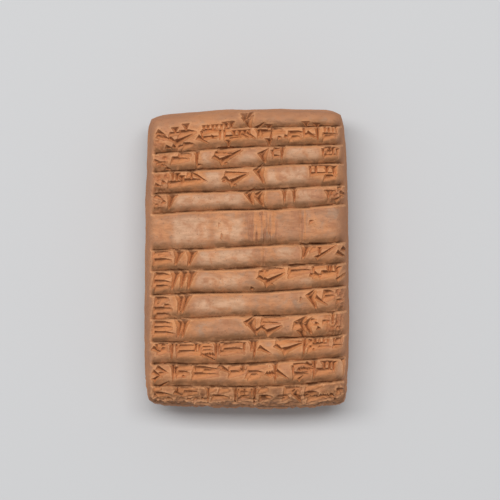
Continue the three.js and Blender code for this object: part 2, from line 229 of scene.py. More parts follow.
REVERSE_ROWS = [
    (3.2, "", ""),
    (4.8, "4b8 12u3 16k5 32s11 56l8.3 64u3", "5i1.1 7i1.1 33c3.3"),
    (4.8, "4n6 10v4 14u3 28k5 38b10 66u3", "40i1.1 43i1.1 60c2.3"),
    (4.8, "6s11 18u3 22l8 22l8.4 64h8", "30o2.3"),
    (28.0, "", "30e9.4 50c2.5"),
    (4.8, "4b8 12u3 16l8.3 36k5 50s11 63v4", "17l6.1 6i1.1"),
    (4.8, "6u3 10n8 43u3 47u3 51l12.3", "20c3.2"),
    (4.2, "", ""),
]

# The mesh: its grid, the most triangles it may have, the fold that stays sharp, the length of a rounded
# edge as a share of its reach, and the steps down the sides as a share of the grid's
GRID_STEP = 0.105
MOST_TRIANGLES = 192000
SHARP_FOLD = 34
EDGE_ARC = 1.7
SIDE_STEP = 1.5

# Strokes in this mesh: their depth as a share of the stylus's, the slot along the crease and where it
# starts, the depth at which a crease is full, and the lip that the stylus raises
FACET_DEPTH = 1.05
SLOT_DEPTH = 0.25
SLOT_START = 0.5
FULL_CREASE = 0.4
LIP_HEIGHT = 0.15
LIP_REACH = 0.4
LIP_GROWTH = 2

# Ruled lines in this mesh: how far they wander, how even their depth is, the crease along them, the sag
# of the clay above them, and the band below them that catches the light and is painted with a highlight
WANDER = 0.1
SMALL_WANDER = 0.05
LINE_EVENNESS = 0.85
LINE_CHANGE = 0.3
CREASE_DEPTH = 0.3
CREASE_BAND = (0.3, 0.45)
SAG_DEPTH = 0.5
SAG_REACH = 3.2
LIT_BAND = (-0.9, -0.45)
LEAST_LINE = 0.01

# Wear: the depths of worn, smoothed-out, crumbled and crowded clay, how much of a stroke worn clay fills,
# how far from the lower end the clay is crumbled all over and not at all, and how far crowding is felt
WORN_DEPTH = 0.5
WORN_FILL = 0.4
FAINT_DEPTH = 0.4
BROKEN_EDGE_DEPTH = 0.65
BROKEN_ALL = 2.2
BROKEN_NONE = 6
CROWD_DEPTH = 0.3
CROWD_REACH = 1.1
CROWDED_STROKE = 0.02
CROWDED_LINE = 0.2

# The soft borders of a patch: to its left and right, under and over its foot, and under and over its top
PATCH_SIDE = 0.6
PATCH_FOOT = (-0.4, 0.8)
PATCH_TOP = (-0.8, 0.2)

# Lumpy noises: the size of the lumps in millimetres, the seed of their pattern, and the squeeze along
# each axis
WANDERS = dict(size=3.0, seed=22)
SMALL_WANDERS = dict(size=1.1, seed=23)
LINE_CHANGES = dict(size=1.5, seed=21, squeeze=(0.3, 1, 1))
CRUMBS = dict(size=0.9, seed=3)
SMALL_CRUMBS = dict(size=0.4, seed=4)
CHIPS = dict(size=1.7, seed=6)
SMALL_CHIPS = dict(size=0.7, seed=7)
CHIP_FOLDS = dict(size=0.8, seed=10)
STREAKS = dict(size=0.5, seed=5, squeeze=(1, 0.12, 1))
RIDGES = dict(size=0.9, seed=8, squeeze=(0.55, 1, 1))
SMALL_RIDGES = dict(size=0.6, seed=9)
DENTS = dict(size=5.0, seed=11)
SMALL_DENTS = dict(size=1.9, seed=12, squeeze=(0.6, 1, 1))
OUTLINE_DENTS = dict(size=3.4, seed=16, squeeze=(1, 1, 0.3))
GRAIN = dict(size=0.9, seed=13)
SMALL_GRAIN = dict(size=0.4, seed=14)
GRIT = dict(size=0.5, seed=15)

# The shares of the smaller noises in a mix
SMALL_CRUMB_SHARE = 0.6
SMALL_CHIP_SHARE = 0.4
CHIP_FOLD_SHARE = 0.9
SMALL_RIDGE_SHARE = 0.5

# The skin: how far it lies inside the solid, the height of its lumps, the room left for the outline's
# dents, the noise at which grit starts and over which it deepens, how much of the grain the reverse has,
# and how far the clay faces up where the grain starts and is full
SKIN_DEPTH = 0.1
DENT_HEIGHT = 0.06
SMALL_DENT_HEIGHT = 0.09
OUTLINE_DENT_HEIGHT = 0.12
DENT_ROOM = 0.1
GRAIN_HEIGHT = 0.03
GRIT_DEPTH = 0.06
GRIT_START = 0.8
GRIT_RANGE = 0.2
REVERSE_GRAIN = 0.3
GRAIN_TURN = (-0.3, 0.4)

# Where marks fade in as the clay turns from a side, at 0, to a face, at 1
STROKE_FADE = (0.15, 0.6)
LINE_FADE = (0, 0.5)
LINE_FADE_POWER = 0.3
RIM_FADE = (0.72, 0.98)
BARE_FADE = (0.5, 0.95)
UNDER_FADE = (0.1, 0.75)

# Where other masks start and are full: a stroke's upper wall, which takes painted shade, by its slope, a
# chip's painted shadow by its depth, bare clay by the marks near it, and the lower end, which takes painted
# shade, by how far it has turned over
WALL_SLOPE = (0.2, 0.8)
LEAST_ROW_STEP = 0.02
CHIP_SHADOW = (0.5, 1.1)
BARE_CROWD = (0.02, 0.4)
UNDER_TURN = (0.3, 0.8)

# The masks that the mesh carries for its material: strokes, their creases and upper walls, which take
# painted shade, ruled lines, which take painted shade, and the walls below them, which take a painted
# highlight, lips, which take a painted highlight, worn clay, the crumbled lower end, whose umber is partly
# painted shade, its underside, which takes painted shade, smoothed-out marks, pale patches, the low part of
# each row, which takes painted shade, the tablet's rim and sides, which take painted shade, and bare clay
MASKS = (
    "pressed",
    "crease",
    "upper_wall_painted_shade",
    "ruled",
    "painted_highlight_band",
    "lip",
    "worn",
    "broken",
    "under",
    "faint",
    "pale",
    "low",
    "rim",
    "bare",
)

# Clay colours, as linear light
CLAY = (0.52, 0.213, 0.093)
CLAY_WARM = (0.67, 0.27, 0.1)
# Painted highlight on lips and on the walls below ruled lines
CLAY_PAINTED_HIGHLIGHT = (0.76, 0.38, 0.18)
CLAY_DUSTY = (0.45, 0.245, 0.148)
CLAY_PALE = (0.74, 0.45, 0.28)
# Painted shade on the rim and sides
CLAY_RIM_PAINTED_SHADE = (0.42, 0.2, 0.105)
CLAY_GREY = (0.4, 0.28, 0.2)
CLAY_RED = (0.38, 0.14, 0.065)
# Painted shade on the low part of each row and on the underside, and on the crumbled lower end darker
# crumbled clay with painted shade
CLAY_UMBER_WEAR_AND_SHADE = (0.25, 0.115, 0.05)
# Painted shade in creases, chips, ruled lines and the upper walls of strokes
CLAY_PAINTED_SHADE = (0.17, 0.065, 0.026)
CLAY_SPECK = (0.16, 0.08, 0.05)
CLAY_SHADE = (0.8, 0.77, 0.74)

# How strongly a mask tints the clay: the rim, the underside and upper walls with painted shade, lips and
# the walls below ruled lines with a painted highlight, and the crumbled end with darker clay and painted
# shade
RIM_PAINTED_SHADE = 0.5
LIP_PAINTED_HIGHLIGHT = 0.55
WALL_PAINTED_HIGHLIGHT = 0.7
BROKEN_CLAY_AND_SHADE = 0.85
UNDER_PAINTED_SHADE = 0.8
UPPER_WALL_SHADE = 0.95
RIM_SMOOTHNESS = 0.6

# Where a noise or a mask starts to count and counts in full, and what the start and the full count give
WARM_CLOUDS = (0.38, 0.64)
RED_CLOUDS = (0.46, 0.3, 0, 0.5)
DUSTY_CLOUDS = (0.36, 0.62, 0.25, 0.7)
GREY_CLOUDS = (0.55, 0.68, 0, 0.4)
PALE_CLOUDS = (0.36, 0.56, 0.1, 0.6)
CRUMB_SPOTS = (0.4, 0.6, 0.1, 0.6)
DARK_STREAKS = (0.46, 0.6, 0, 0.6)
LIGHT_STREAKS = (0.46, 0.38, 0, 0.6)
RED_SCRATCHES = (0.5, 0.36, 0, 0.6)
# Painted shade on the low part of each row, broken up by clouds
ROW_SHADE = (0.03, 0.65)
ROW_CLOUDS = (0.35, 0.6, 0.5, 1)
# A warmer, lighter tint in strokes: the pressed clay's warmer colour and a painted highlight on their facets
STROKE_WARMTH_AND_HIGHLIGHT = (0.02, 0.2, 0, 0.55)
# Painted shade in ruled lines, made uneven by clouds, in creases and on upper walls, broken up by spots
LINE_CLOUDS = (0.3, 0.7, -0.1, 0.1)
LINE_SHADE = (0.27, 0.45, 0, 0.75)
CREASE_SHADE = (0.65, 1, 0, 0.9)
SHADE_SPOTS = (0.3, 0.7, 0.7, 1)
BRUSHED_SHADE = (0.36, 0.64)
DARK_SPECKLES = (0.63, 0.72, 0, 0.5)
DUSTY_SPECKLES = (0.36, 0.28, 0, 0.3)
CLAY_ROUGHNESS = (0.3, 0.7, 0.62, 0.85)

# The material's cloudy noises. Their scale is how many spots a metre holds.
CLAY_NOISES = dict(
    broad=dict(scale=130, detail=3, roughness=0.55),
    blotch=dict(scale=420, detail=5, roughness=0.65, distortion=0.4),
    fine=dict(scale=1500, detail=4, roughness=0.6),
    brushed=dict(scale=1300, detail=4, roughness=0.65, squeeze=(0.3, 1, 1)),
    speckle=dict(scale=3000, detail=2, roughness=0.5),
    streaks=dict(scale=1500, detail=3, roughness=0.6, distortion=0.3, squeeze=(1, 0.12, 1)),
)
CLAY_SHINE = 0.3
BUMP_STRENGTH = 0.7
BUMP_DEPTH = 0.0001
SMEAR_BUMP = 1.5

# The photograph: its scale, the tablet's middle in it, and the camera's height over the table
PIXEL = 0.2 * MM
PHOTO_WIDTH = 500
TABLET_MIDDLE_PIXEL = (246.8, 259)
CAMERA_HEIGHT = 0.6
SENSOR_WIDTH = 36

# The table and the light, in metres and watts
TABLE_REACH = 1.5
TABLE_COLOUR = (0.6, 0.605, 0.615)
TABLE_ROUGHNESS = 0.95
TABLE_SHINE = 0.1
KEY_LIGHT = dict(place=(-0.12, 0.3, 1.07), width=1.2, depth=0.3, power=10.6)
SKY_STRENGTH = 0.38

# Whole numbers that scramble the places of lumps, and the roll of the dice
CELL_FACTORS = (73856093, 19349663, 83492791)
SEED_FACTOR = 40503
MIX_FACTOR = 1274126177
DICE_FACTOR = 48271
DICE_RANGE = 2147483647


def rules_of(rows):
    """The heights of the lines between the rows, from the top edge of a face to its bottom edge."""
    total = sum(row[0] for row in rows)
    rules = [HALF_LENGTH]
    for height, *_ in rows:
        rules.append(rules[-1] - 2 * HALF_LENGTH * height / total)
    return rules


OBVERSE = dict(
    edges=OBVERSE_EDGES,
    drop=OBVERSE_EDGE_DROP,
    crown=OBVERSE_CROWN,
    base=SIDE_TOP,
    facing=1,
    seed=20,
    rows=OBVERSE_ROWS,
    rules=rules_of(OBVERSE_ROWS),
)
REVERSE = dict(
    edges={side: REVERSE_EDGE for side in OBVERSE_EDGES},
    drop=REVERSE_EDGE_DROP,
    crown=REVERSE_CROWN,
    base=-SIDE_BASE,
    facing=-1,
    seed=7,
    rows=REVERSE_ROWS,
    rules=rules_of(REVERSE_ROWS),
)


def smooth_step(start, end, value):
    """From 0 before the start to 1 after the end, without a corner."""
    share = np.clip((value - start) / (end - start), 0, 1)
    return share * share * (3 - 2 * share)


def dice(seed):
    """Numbers from 0 to 1 that are the same on every run, and the same as the solid's."""
    state = seed
    while True:
        state = (state * DICE_FACTOR) % DICE_RANGE
        yield state / DICE_RANGE


def chance(cell, seed):
    """A number from -1 to 1 for each cell, with no pattern from one cell to the next."""
    across, along, up = (cell[..., axis] * factor for axis, factor in enumerate(CELL_FACTORS))
    mixed = across ^ along ^ up ^ seed * SEED_FACTOR
    mixed = (mixed ^ (mixed >> 13)) * MIX_FACTOR & 0xFFFFFFFF
    return ((mixed ^ (mixed >> 15)) & 0xFFFF) / (0xFFFF / 2) - 1


def lumps(points, size, seed, squeeze=(1, 1, 1)):
    """Smooth noise from -1 to 1. A squeeze under 1 along an axis draws its lumps out along that axis."""
    scaled = points * np.array(squeeze) / size
    base = np.floor(scaled).astype(np.int64)
    part = scaled - base
    part = part * part * (3 - 2 * part)
    total = np.zeros(points.shape[:-1])
    for corner in itertools.product((0, 1), repeat=3):
        weight = np.prod(np.where(corner, part, 1 - part), axis=-1)
        total += chance(base + np.array(corner), seed) * weight
    return total


def crumbled(points):
    return np.abs(lumps(points, **CRUMBS)) + SMALL_CRUMB_SHARE * lumps(points, **SMALL_CRUMBS)


def chipped(points):
    hollows = np.maximum(0, lumps(points, **CHIPS) + SMALL_CHIP_SHARE * lumps(points, **SMALL_CHIPS))
    return hollows + CHIP_FOLD_SHARE * np.abs(lumps(points, **CHIP_FOLDS))


def ridged(points):
    return np.abs(lumps(points, **RIDGES)) + SMALL_RIDGE_SHARE * lumps(points, **SMALL_RIDGES)


def crossing(coordinate, half, low_edge, high_edge):
    """From -1 to 1 a coordinate crosses the crowned part of a face. Beyond that it turns over the edge."""
    on_face = np.clip(coordinate, -1, 1)
    low = low_edge - half
    high = half - high_edge
    at = low + (high - low) * (on_face + 1) / 2
    turn = np.sin((coordinate - on_face) * math.pi / 2)
    return at, turn, np.where(coordinate < 0, low_edge, high_edge)


def line_shift(x, y):
    """How far the ruled lines climb and wave across the face. The ends of the tablet stay as they are."""
    wave = RULE_WAVE * np.sin(WAVE_ACROSS * x + WAVE_ALONG * y)
    climb = RULE_TILT * x + RULE_LIFT * np.maximum(0, x) ** 2 + wave
    return climb * (1 - np.minimum(1, np.abs(y / HALF_LENGTH)) ** END_HOLD)


def bowed(x, y):
    """The outline draws in towards the corners, as the sides of a hand-shaped tablet do."""
    share_x = x / HALF_WIDTH
    share_y = y / HALF_LENGTH
    right = RIGHT_BOW * (share_y - RIGHT_WIDEST) ** 2
    left = LEFT_BOW * (share_y - LEFT_WIDEST) ** 2
    top = TOP_BOW * (share_x - TOP_WIDEST) ** 2
    bottom = BOTTOM_BOW * (share_x - BOTTOM_WIDEST) ** 2
    side = np.where(x > 0, right, left)
    end = np.where(y > 0, top, bottom)
    return x - np.sign(x) * side * share_x**2, y - np.sign(y) * end * share_y**2


def rule_share(face, x, y, foot):
    """How near a ruled line is: a long foot slopes down to each line, and a short brow slopes up from it."""
    margin = smooth_step(LEFT_MARGIN - LINE_START, LEFT_MARGIN + LINE_FULL, x)
    nearest = np.zeros(x.shape)
    for index, rule in enumerate(face["rules"][1:-1]):
        above = y - rule
        near = np.clip(1 - np.abs(above) / np.where(above > 0, foot, RULE_BROW), 0, 1) ** 2
        if index == 0:
            near = near * smooth_step(*FIRST_LINE, x)
        nearest = np.maximum(nearest, near)
    return margin * nearest


def mark_strokes(kind, width, height):
    """One mark's strokes: stylus, share across, share below the row's top, degrees and length."""

    def stack(stylus, *shares):
        return [(stylus, 0.04, share, 0, 0.92 * width) for share in shares]

    def posts(*places):
        return [(SHORT, place, 0.08, -90, 0.5 * height) for place in places]

    fence = [(SHORT, x / width, 0.04, -92, 0.36 * height) for x in np.arange(0.5, width, HATCH_STEP)]
    slanting = [(SHORT, x / width, 0.02, -38, 0.3 * height) for x in np.arange(0.1, width, SLANTING_STEP)]
    marks = {
        "u": [(UPRIGHT, 0.5, 0, -92, 0.85 * height)],
        "v": [(LEANING, 0.6, 0, -103, 0.85 * height)],
        "i": [(UPRIGHT, 0.5, 0, -91, 0.5 * height)],
        "k": [(HOOK, 0.35, 0.05, -64, 0.74 * height), (SLANT, 0, 0.24, 38, 0.95 * width)],
        "l": stack(LEVEL, 0.15),
        "n": stack(THIN_LEVEL, 0.12, 0.27, 0.42),
        "b": stack(THIN_LEVEL, 0.12, 0.5) + posts(0.06, 0.96),
        "h": fence + [(THIN_LEVEL, 0.02, 0.48, 0, 0.94 * width)],
        "s": [
            (SLANT, 0, 0.26, -40, 0.42 * width),
            (SWEEP, 0.24, 0.6, 24, 0.84 * width),
            (THIN_LEVEL, 0.04, 0.14, -2, 0.92 * width),
        ],
        "f": [(SLANT, 0.05, 0.06, -32, 0.9 * math.hypot(width, 0.5 * height))],
        "r": [(SLANT, 0.05, 0.72, 33, 0.9 * math.hypot(width, 0.6 * height))],
        "z": slanting,
        "c": [(THIN_LEVEL, 0, 0.2, 4, width)],
        "o": [(PIT, 0, 0.2, -20, max(0.9, width))],
    }
    return marks.get(kind, [])


def marks_of(row_marks):
    """Each mark of a text as its start, letter and width in steps, and its tenths of the row lower."""
    for start, kind, size, lower in re.findall(r"(\d+)([a-z])(\d+)(?:\.(\d))?", row_marks):
        yield int(start), kind, int(size), int(lower or 0) / 10


def placed_marks(face, layer):
    """Each mark's letter, start and width, its row's top and height, and its share of the row lower."""
    for index, row in enumerate(face["rows"]):
        top = face["rules"][index]
        height = top - face["rules"][index + 1]
        for start, kind, size, lower in marks_of(row[layer]):
            yield kind, LEFT_MARGIN + start * MARK_STEP, size * MARK_STEP, top, height, lower


def strokes_of(face):
    """All the strokes of a face, each turned and moved a little. The first layer's are the solid's."""
    roll = dice(face["seed"])

    def stray(size):
        return (next(roll) - 0.5) * 2 * size

    strokes = []
    for kind, start, width, top, height, lower in [*placed_marks(face, 1), *placed_marks(face, 2)]:
        for stylus, across, below, degrees, length in mark_strokes(kind, width, height):
            stroke = dict(stylus)
            stroke["x"] = start + width * across + stray(PLACE_STRAY)
            stroke["y"] = top - height * (below + lower) + stray(PLACE_STRAY)
            stroke["turned"] = math.radians(degrees + stray(TURN_STRAY))
            stroke["length"] = length * (1 + stray(LENGTH_STRAY))
            strokes.append(stroke)
    return strokes


def stroke_relief(stroke, along, beside):
    """The depth along a stroke's crease, each place's share of it, and how far outside the stroke it is."""
    head = stroke["head"]
    length = stroke["length"]
    neck_at = min(stroke["neck_at"] * head, LATEST_NECK * length)
    deep_at = stroke["deep_at"] * head
    half_neck = stroke["neck"] * head / 2
    half = np.interp(along, [0, neck_at, length], [head / 2, half_neck, half_neck * TAIL_WIDTH])
    middle = np.interp(along, [0, neck_at], [0, (1 - stroke["neck"]) * stroke["lean"] * head])
    off = (beside - middle) / half
    ridge = 2 * stroke["lean"]
    flank = np.where(off < ridge, (off + 1) / (1 + ridge), (1 - off) / (1 - ridge))
    from_head = along + stroke["rake"] * beside
    share = np.minimum(np.minimum(flank, from_head / deep_at), (length - along) / TAIL_TIP)
    deepest = stroke["depth"] * np.interp(along, [deep_at, length], [1, TAIL_DEPTH])
    outside = np.maximum((np.abs(off) - 1) * half, np.maximum(-from_head, along - length))
    return deepest, np.clip(share, 0, 1), outside


def press_stroke(x, y, pressed, crease, lip, stroke):
    """Presses one stroke into the clay, notes its crease and raises a low lip round it."""
    reach = stroke["length"] + stroke["head"]
    near = (np.abs(x - stroke["x"]) < reach) & (np.abs(y - stroke["y"]) < reach)
    away_x = x[near] - stroke["x"]
    away_y = y[near] - stroke["y"]
    cosine = math.cos(stroke["turned"])
    sine = math.sin(stroke["turned"])
    along = away_x * cosine + away_y * sine
    deepest, share, outside = stroke_relief(stroke, along, away_y * cosine - away_x * sine)
    slot = SLOT_DEPTH * smooth_step(SLOT_START, 1, share)
    pressed[near] = np.maximum(pressed[near], deepest * (share * FACET_DEPTH + slot))
    crease[near] = np.maximum(crease[near], share * np.minimum(1, deepest / FULL_CREASE))
    raised = min(1, LIP_GROWTH * stroke["depth"])
    rim = np.exp(-((outside / LIP_REACH) ** 2)) * (outside > 0) * raised
    lip[near] = np.maximum(lip[near], rim)


def press_strokes(face, sheet):
    """A face's strokes: their depth, their creases, their lips and their upper walls, painted in shade."""
    pressed = np.zeros(sheet["x"].shape)
    crease = np.zeros(sheet["x"].shape)
    lip = np.zeros(sheet["x"].shape)
    for stroke in strokes_of(face):
        press_stroke(sheet["x"], sheet["y"], pressed, crease, lip, stroke)
    on_face = smooth_step(*STROKE_FADE, sheet["flat"])
    pressed *= on_face
    crease *= on_face
    lip *= on_face
    # Upper walls turn away from the light, and the material paints them in shade
    row_step = np.gradient(sheet["y"], axis=0)
    row_step = np.where(np.abs(row_step) < LEAST_ROW_STEP, LEAST_ROW_STEP * face["facing"], row_step)
    upper_wall_painted_shade = smooth_step(*WALL_SLOPE, -np.gradient(pressed, axis=0) / row_step)
    return pressed, crease, lip * (pressed <= 0), upper_wall_painted_shade


def rule_lines(face, sheet):
    """The ruled lines' depth, the share of the clay's sag above them, and the painted highlight below them.
    """
    points = sheet["points"]
    flat = sheet["flat"]
    wandering = sheet["y"] + WANDER * lumps(points, **WANDERS)
    wandering = wandering + SMALL_WANDER * lumps(points, **SMALL_WANDERS)
    unsteady = LINE_EVENNESS + LINE_CHANGE * lumps(points, **LINE_CHANGES)
    share = rule_share(face, sheet["x"], wandering, RULE_FOOT)
    ruled = RULE_DEPTH * share * flat**LINE_FADE_POWER * smooth_step(*LINE_FADE, flat) * unsteady
    sagging = rule_share(face, sheet["x"], wandering, SAG_REACH)
    # The band below each line faces the light, and the material paints it with a highlight
    painted_highlight_band = np.zeros(ruled.shape)
    for rule in face["rules"][1:-1]:
        below = smooth_step(*LIT_BAND, wandering - rule) * (wandering < rule)
        painted_highlight_band = np.maximum(painted_highlight_band, below)
    return ruled, sagging, painted_highlight_band * (ruled > LEAST_LINE)


def patches(face, kind, sheet):
    """Soft-edged patches where a face has marks of one kind, from 0 outside them to 1 inside."""
    x = sheet["x"]
    y = sheet["y"]
    total = np.zeros(x.shape)
    for letter, start, width, top, height, lower in placed_marks(face, 2):
        if letter != kind:
            continue
        end = start + width
        foot = top - height
        upper = top - lower * height
        past_start = smooth_step(start - PATCH_SIDE, start + PATCH_SIDE, x)
        past_end = smooth_step(end - PATCH_SIDE, end + PATCH_SIDE, x)
        over_foot = smooth_step(foot + PATCH_FOOT[0], foot + PATCH_FOOT[1], y)
        over_top = smooth_step(upper + PATCH_TOP[0], upper + PATCH_TOP[1], y)
        across = past_start * (1 - past_end)
        down = over_foot * (1 - over_top)
        total = np.maximum(total, across * down)
    return total


def blurred(grid, reach):
    """The mean of a grid's values over a square with the given reach in millimetres."""
    steps = max(1, round(reach / GRID_STEP))
    size = 2 * steps + 1
    for axis in (0, 1):
        widths = [(steps + 1, steps) if side == axis else (0, 0) for side in (0, 1)]
        sums = np.cumsum(np.pad(grid, widths, mode="edge"), axis=axis)
        count = sums.shape[axis]
        later = np.take(sums, range(size, count), axis)
        earlier = np.take(sums, range(count - size), axis)
        grid = (later - earlier) / size
    return grid


def smooth_sheet(face, across, along):
    """One face before it is written on, as a grid: its x and y, its points and the way out of the clay.

    Flat is 1 on the face and falls to 0 on the sides. Turned is how far the clay has turned over an end.
    """
    u, v = np.meshgrid(across, along)
    edges = face["edges"]
    at_x, turn_x, edge_x = crossing(u, HALF_WIDTH, edges["left"], edges["right"])
    at_y, turn_y, edge_y = crossing(v, HALF_LENGTH, edges["bottom"], edges["top"])
    out_x = turn_x * np.sqrt(1 - CORNER_ROUND * turn_y**2)
    out_y = turn_y * np.sqrt(1 - CORNER_ROUND * turn_x**2)
    out_z = np.sqrt(np.clip((1 - turn_x**2) * (1 - turn_y**2), 0, 1))
    x = at_x + out_x * edge_x
    y = at_y + out_y * edge_y
    swell = (1 - (x / HALF_WIDTH) ** 2) * (1 - (y / HALF_LENGTH) ** 2)
    lump = HAND_LUMPS * np.sin(LUMPS_ACROSS * x + LUMPS_START_ACROSS)
    lump = lump * np.sin(LUMPS_ALONG * y + LUMPS_START_ALONG)
    height = face["drop"] * out_z + face["crown"] * swell + lump * out_z
    plan_x, plan_y = bowed(x, face["facing"] * (y + line_shift(x, y)))
    points = np.stack([plan_x, plan_y, face["facing"] * (face["base"] + height)], axis=-1)
    out = np.stack([out_x, face["facing"] * out_y, face["facing"] * out_z], axis=-1)
    out /= np.linalg.norm(out, axis=-1, keepdims=True)
    return dict(x=x, y=y, points=points, out=out, flat=out_z, turned=turn_y)


def face_sheet(face, across, along):
    """One face as a grid of points, with the way out of the clay and the masks that the material reads."""
    sheet = smooth_sheet(face, across, along)
    points = sheet["points"]
    flat = sheet["flat"]
    pressed, crease, lip, upper_wall_painted_shade = press_strokes(face, sheet)
    ruled, sagging, painted_highlight_band = rule_lines(face, sheet)
    crowd = blurred((pressed > CROWDED_STROKE).astype(float), CROWD_REACH)
    beside_line = blurred((ruled > CROWDED_LINE).astype(float), CROWD_REACH / 2)
    worn = patches(face, "w", sheet)
    faint = patches(face, "e", sheet)
    whole = smooth_step(BROKEN_ALL - HALF_LENGTH, BROKEN_NONE - HALF_LENGTH, sheet["y"])
    broken = (1 - whole) * (face is OBVERSE)
    chips = chipped(points)

    carved = ruled + pressed * (1 - WORN_FILL * worn)
    carved += WORN_DEPTH * worn * crumbled(points)
    carved += FAINT_DEPTH * faint * np.maximum(0, lumps(points, **STREAKS))
    carved += CREASE_DEPTH * smooth_step(*CREASE_BAND, ruled) + BROKEN_EDGE_DEPTH * broken * chips
    carved += CROWD_DEPTH * crowd * ridged(points)
    carved += SAG_DEPTH * sagging * np.sqrt(flat)
    points = points - sheet["out"] * (carved - LIP_HEIGHT * lip)[..., None]

    lower_end = (sheet["y"] < 0) * smooth_step(*UNDER_TURN, -sheet["turned"])
    unmarked = (1 - worn) * (1 - smooth_step(*BARE_CROWD, crowd + beside_line))
    masks = dict(
        pressed=pressed,
        # painted shade in creases and chips
        crease=np.maximum(crease, broken * smooth_step(*CHIP_SHADOW, chips)),
        upper_wall_painted_shade=upper_wall_painted_shade,
        ruled=ruled,
        painted_highlight_band=painted_highlight_band,
        lip=lip,
        worn=worn,
        broken=broken,
        # painted shade on the underside of the lower end
        under=(1 - smooth_step(*UNDER_FADE, flat)) * lower_end,
        faint=faint,
        pale=patches(face, "p", sheet),
        # painted shade on the low part of each row
        low=sagging * flat,
        # painted shade on the rim and sides
        rim=1 - smooth_step(*RIM_FADE, flat),
        bare=unmarked * smooth_step(*BARE_FADE, flat),
    )
    return points, sheet["out"], masks


def edge_steps(reach):
    """The coordinates over one rounded edge, without its inner end."""
    steps = max(4, round(EDGE_ARC * reach / GRID_STEP))
    return np.linspace(1, 2, steps + 1)[1:]


def coordinates(half, low_edge, high_edge):
    """Close-set coordinates from one rim of a face to the other."""
    middle = np.linspace(-1, 1, round((2 * half - low_edge - high_edge) / GRID_STEP))
    return np.concatenate([-edge_steps(low_edge)[::-1], middle, edge_steps(high_edge)])


def rim_of(grid):
    """The grid's outer points in order round the rim, starting and turning the same way on both faces."""
    return np.concatenate([grid[0, :-1], grid[:-1, -1], grid[-1, :0:-1], grid[:0:-1, 0]])


def quads_of(grid):
    """The four corners of every cell of a grid."""
    corners = [grid[:-1, :-1], grid[:-1, 1:], grid[1:, 1:], grid[1:, :-1]]
    return np.stack([corner.ravel() for corner in corners], axis=-1)


def side_rings(points, out, upper, lower):
    """Rings of points down the slightly swollen sides, from rim to rim, and the way out of the clay."""
    steps = round((SIDE_TOP - SIDE_BASE) / GRID_STEP / SIDE_STEP)
    shares = np.linspace(0, 1, steps + 1)[1:-1, None, None]
    bulge = SIDE_SWELL * np.sin(math.pi * shares) ** 2
    sideways = out[upper] + (out[lower] - out[upper]) * shares
    return points[upper] + (points[lower] - points[upper]) * shares + sideways * bulge, sideways


def tablet_shell():
    """The whole tablet's points, quads and masks: two faces and the sides between their rims."""
    across = coordinates(HALF_WIDTH, OBVERSE_EDGES["left"], OBVERSE_EDGES["right"])
    along = coordinates(HALF_LENGTH, OBVERSE_EDGES["bottom"], OBVERSE_EDGES["top"])
    top_points, top_out, top_masks = face_sheet(OBVERSE, across, along)
    low_points, low_out, low_masks = face_sheet(REVERSE, across, -along)
    shape = top_points.shape[:2]
    count = shape[0] * shape[1]
    top_index = np.arange(count).reshape(shape)
    low_index = top_index + count

    upper = rim_of(top_index)
    lower = rim_of(low_index)
    face_points = np.concatenate([top_points.reshape(-1, 3), low_points.reshape(-1, 3)])
    face_out = np.concatenate([top_out.reshape(-1, 3), low_out.reshape(-1, 3)])
    side_points, side_out = side_rings(face_points, face_out, upper, lower)
    side_index = 2 * count + np.arange(side_points.shape[0] * len(upper)).reshape(-1, len(upper))
    rings = np.concatenate([upper[None], side_index, lower[None]])
    closed_rings = np.concatenate([rings, rings[:, :1]], axis=1)

    points = np.concatenate([face_points, side_points.reshape(-1, 3)])
    out = np.concatenate([face_out, side_out.reshape(-1, 3)])
    quads = np.concatenate([quads_of(top_index), quads_of(low_index)[:, ::-1], quads_of(closed_rings)])
    masks = {}
    for name in MASKS:
        on_side = np.full(side_index.size, float(name == "rim"))
        masks[name] = np.concatenate([top_masks[name].ravel(), low_masks[name].ravel(), on_side])
    return points, out, masks, quads


def roughen(points, out):
    """The uneven skin of hand-worked clay, from broad dents down to grit, mostly inside the solid."""
    dents = DENT_HEIGHT * lumps(points, **DENTS) + SMALL_DENT_HEIGHT * lumps(points, **SMALL_DENTS)
    outline = OUTLINE_DENT_HEIGHT * lumps(points, **OUTLINE_DENTS) * (1 - out[:, 2] ** 2) - DENT_ROOM
    grain = GRAIN_HEIGHT * lumps(points, **GRAIN) + GRAIN_HEIGHT * lumps(points, **SMALL_GRAIN)
    grit = -GRIT_DEPTH * np.clip(lumps(points, **GRIT) - GRIT_START, 0, 1) / GRIT_RANGE
    grainy = REVERSE_GRAIN + (1 - REVERSE_GRAIN) * smooth_step(*GRAIN_TURN, out[:, 2])
    return points + out * (dents + outline + (grain + grit) * grainy - SKIN_DEPTH)[:, None]


def seated(points):
    """The points moved over the solid's middle and kept inside its box, which cuts the underside flat."""
    box_low = np.array([*TABLET_LOW]) / MM
    box_high = np.array([*TABLET_HIGH]) / MM
    low = points.min(axis=0)
    high = points.max(axis=0)
    shift = (box_low + box_high) / 2 - (low + high) / 2
    shift[2] = 0
    return np.clip(points + shift, box_low, box_high)


def new_mesh(points, masks, quads):
    """A smooth mesh with the masks on its points."""
    mesh = bpy.data.meshes.new("clay_tablet")
    mesh.vertices.add(len(points))
    mesh.vertices.foreach_set("co", (points * MM).astype(np.float32).ravel())
    mesh.loops.add(quads.size)
    mesh.loops.foreach_set("vertex_index", quads.astype(np.int32).ravel())
    mesh.polygons.add(len(quads))
    mesh.polygons.foreach_set("loop_start", np.arange(0, quads.size, 4, dtype=np.int32))
    for name, values in masks.items():
        attribute = mesh.attributes.new(name, "FLOAT", "POINT")
        attribute.data.foreach_set("value", values.astype(np.float32))
    mesh.update(calc_edges=True)
    mesh.validate()
    mesh.polygons.foreach_set("use_smooth", np.ones(len(quads), dtype=bool))
    return mesh


